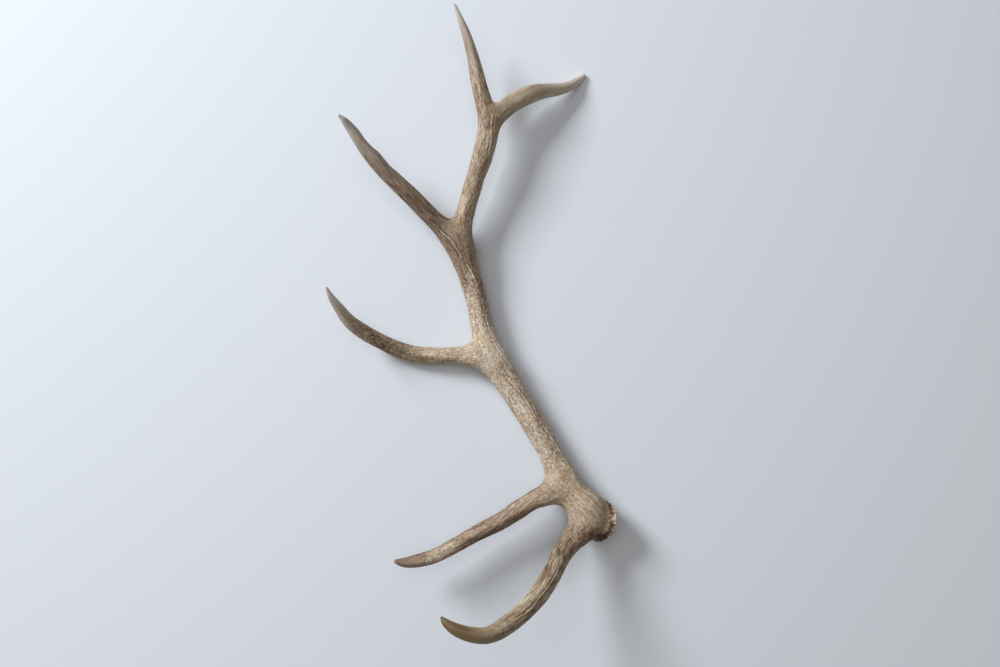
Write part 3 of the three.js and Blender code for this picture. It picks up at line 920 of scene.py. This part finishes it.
def seedKnobs():
    # places the knobs of the burr, uneven in size and spacing, each a short tapered rod of bone
    rng = np.random.default_rng(5)
    uneven, lifted, turnedBy = crown["unevenness"], crown["knobLift"], crown["knobTurn"]
    starts, ends, startRadii, endRadii = [], [], [], []
    for count, foot, head in crown["rows"]:
        offset = rng.uniform(0, 1)
        for i in range(count):
            angle = (i + offset + rng.uniform(-uneven, uneven)) * 2 * math.pi / count
            swell, lift = rng.uniform(1 - uneven, 1 + uneven), rng.uniform(-lifted, lifted)
            for (r, h, size), places, sizes in ((foot, starts, startRadii), (head, ends, endRadii)):
                turned = angle + rng.uniform(-turnedBy, turnedBy)
                around = crownSide * math.cos(turned) + crownUpper * math.sin(turned)
                places.append(crownMiddle + around * r * mm + crownUp * (h + lift) * mm)
                sizes.append(size * swell * mm)
    spread, lifted = crown["pearlSpread"], crown["pearlLift"]
    for count, up, size in crown["pearlRows"]:
        angles = (np.arange(count) + rng.uniform(-spread, spread, count)) * 2 * math.pi / count
        lifts, swells = rng.uniform(-lifted, lifted, count), rng.uniform(*crown["pearlSizes"], count)
        middles, forwards = spotAt(beam, np.maximum((up + lifts - crown["pearlFoot"]) * mm, 0))
        directions = np.array([outwardRound(f, [a])[0] for f, a in zip(forwards, angles)])
        skin = middles + directions * reachToSkin(middles, directions)[:, None]
        sunk = skin - directions * size * crown["pearlSunk"] * mm
        starts += list(sunk)
        ends += list(sunk + forwards * crown["pearlLength"] * mm)
        startRadii += list(size * swells * mm)
        endRadii += list(size * swells * crown["pearlHead"] * mm)
    return {"starts": np.array(starts), "ends": np.array(ends),
            "startRadii": np.array(startRadii), "endRadii": np.array(endRadii)}


knobs.update(seedKnobs())

foot = forks["brow"]
burr = growPiece("burrCrown", beam, 0.0, foot["distance"], None, [foot["up"], foot["tine"]],
                 crown["around"], crown["step"] * mm)
dress(burr, "burr", burrBone)
print("burr grown")

stretches = {
    "beamBase": ("beam_base", forks["brow"], forks["bez"]),
    "lowerBeam": ("lower_beam", forks["bez"], forks["trez"]),
    "middleBeam": ("middle_beam", forks["trez"], forks["royal"]),
    "upperBeam": ("upper_beam", forks["royal"], forks["last"]),
}
for name, (node, lower, upper) in stretches.items():
    stretch = growPiece(name, beam, lower["distance"], upper["distance"], [lower["down"], lower["tine"]],
                        [upper["up"], upper["tine"]], beam["around"])
    dress(stretch, node, antlerBone)
print("beam grown")

tips = {
    "browTine": ("brow_tine", brow, forks["brow"]),
    "bezTine": ("bez_tine", bez, forks["bez"]),
    "trezTine": ("trez_tine", trez, forks["trez"]),
    "royalTine": ("royal_tine", royal, forks["royal"]),
    "rearPoint": ("rear_point", rear, forks["last"]),
    "topPoint": ("top_point", beam, forks["last"]),
}
for name, (node, branch, fork) in tips.items():
    # the top point is the end of the beam, and each of the others starts at its fork's heart
    start, neighbours = (fork["distance"], ("down", "tine")) if branch is beam else (0.0, ("down", "up"))
    tine = growPiece(name, branch, start, branch["length"], [fork[side] for side in neighbours], None,
                     branch["around"])
    dress(tine, node, antlerBone)
print("tines and points grown")


studio = {
    "floorSize": 8.0, "floorColour": "#dadfe5", "floorRoughness": 0.9,
    "roomColour": "#f1e8db", "roomStrength": 0.23,
    # square soft lights, aimed at the antler: place, size, power and colour
    "lights": {"window": ((-3.6, 2.7, 2.6), 1.7, 315, "#f6faff"),
               "ceiling": ((-0.6, 0.4, 3.2), 2.6, 28, "#f4f6ff")},
    "cameraPlace": (0.007, -0.160, 1.300), "cameraTilt": (5.105, -1.613), "lens": 28.0, "sensor": 36.0,
}
bm = bmesh.new()
bmesh.ops.create_grid(bm, x_segments=1, y_segments=1, size=studio["floorSize"] / 2)
floorMesh = bpy.data.meshes.new("floor")
bm.to_mesh(floorMesh)
bm.free()
floor = bpy.data.objects.new("floor", floorMesh)
bpy.context.scene.collection.objects.link(floor)
paintedBoard = bpy.data.materials.new("paintedBoard")  # matt emulsion paint, plain and pale
paintedBoard.use_nodes = True
paint = paintedBoard.node_tree.nodes["Principled BSDF"].inputs
paint["Base Color"].default_value = linear(studio["floorColour"])
paint["Roughness"].default_value = studio["floorRoughness"]
floorMesh.materials.append(paintedBoard)


def addLight(name, place, size, power, colour):
    lamp = bpy.data.lights.new(name, "AREA")
    lamp.shape, lamp.size = "SQUARE", size
    lamp.energy, lamp.color = power, linear(colour)[:3]
    light = bpy.data.objects.new(name, lamp)
    light.location = place
    x, y, z = place
    light.rotation_euler = (math.atan2(math.hypot(x, y), z), 0, math.atan2(-y, -x) - math.pi / 2)
    bpy.context.scene.collection.objects.link(light)


for name, light in studio["lights"].items():
    addLight(name, *light)
world = bpy.data.worlds.new("softRoom")
world.use_nodes = True
room = world.node_tree.nodes["Background"].inputs
room["Color"].default_value = linear(studio["roomColour"])
room["Strength"].default_value = studio["roomStrength"]
bpy.context.scene.world = world
bpy.context.scene.view_settings.view_transform = "Standard"

lens = bpy.data.cameras.new("view")
lens.lens, lens.sensor_width = studio["lens"], studio["sensor"]
camera = bpy.data.objects.new("view", lens)
camera.location = studio["cameraPlace"]
camera.rotation_euler = [math.radians(tilt) for tilt in (*studio["cameraTilt"], 0)]
bpy.context.scene.collection.objects.link(camera)
bpy.context.scene.camera = camera
print("stage set")
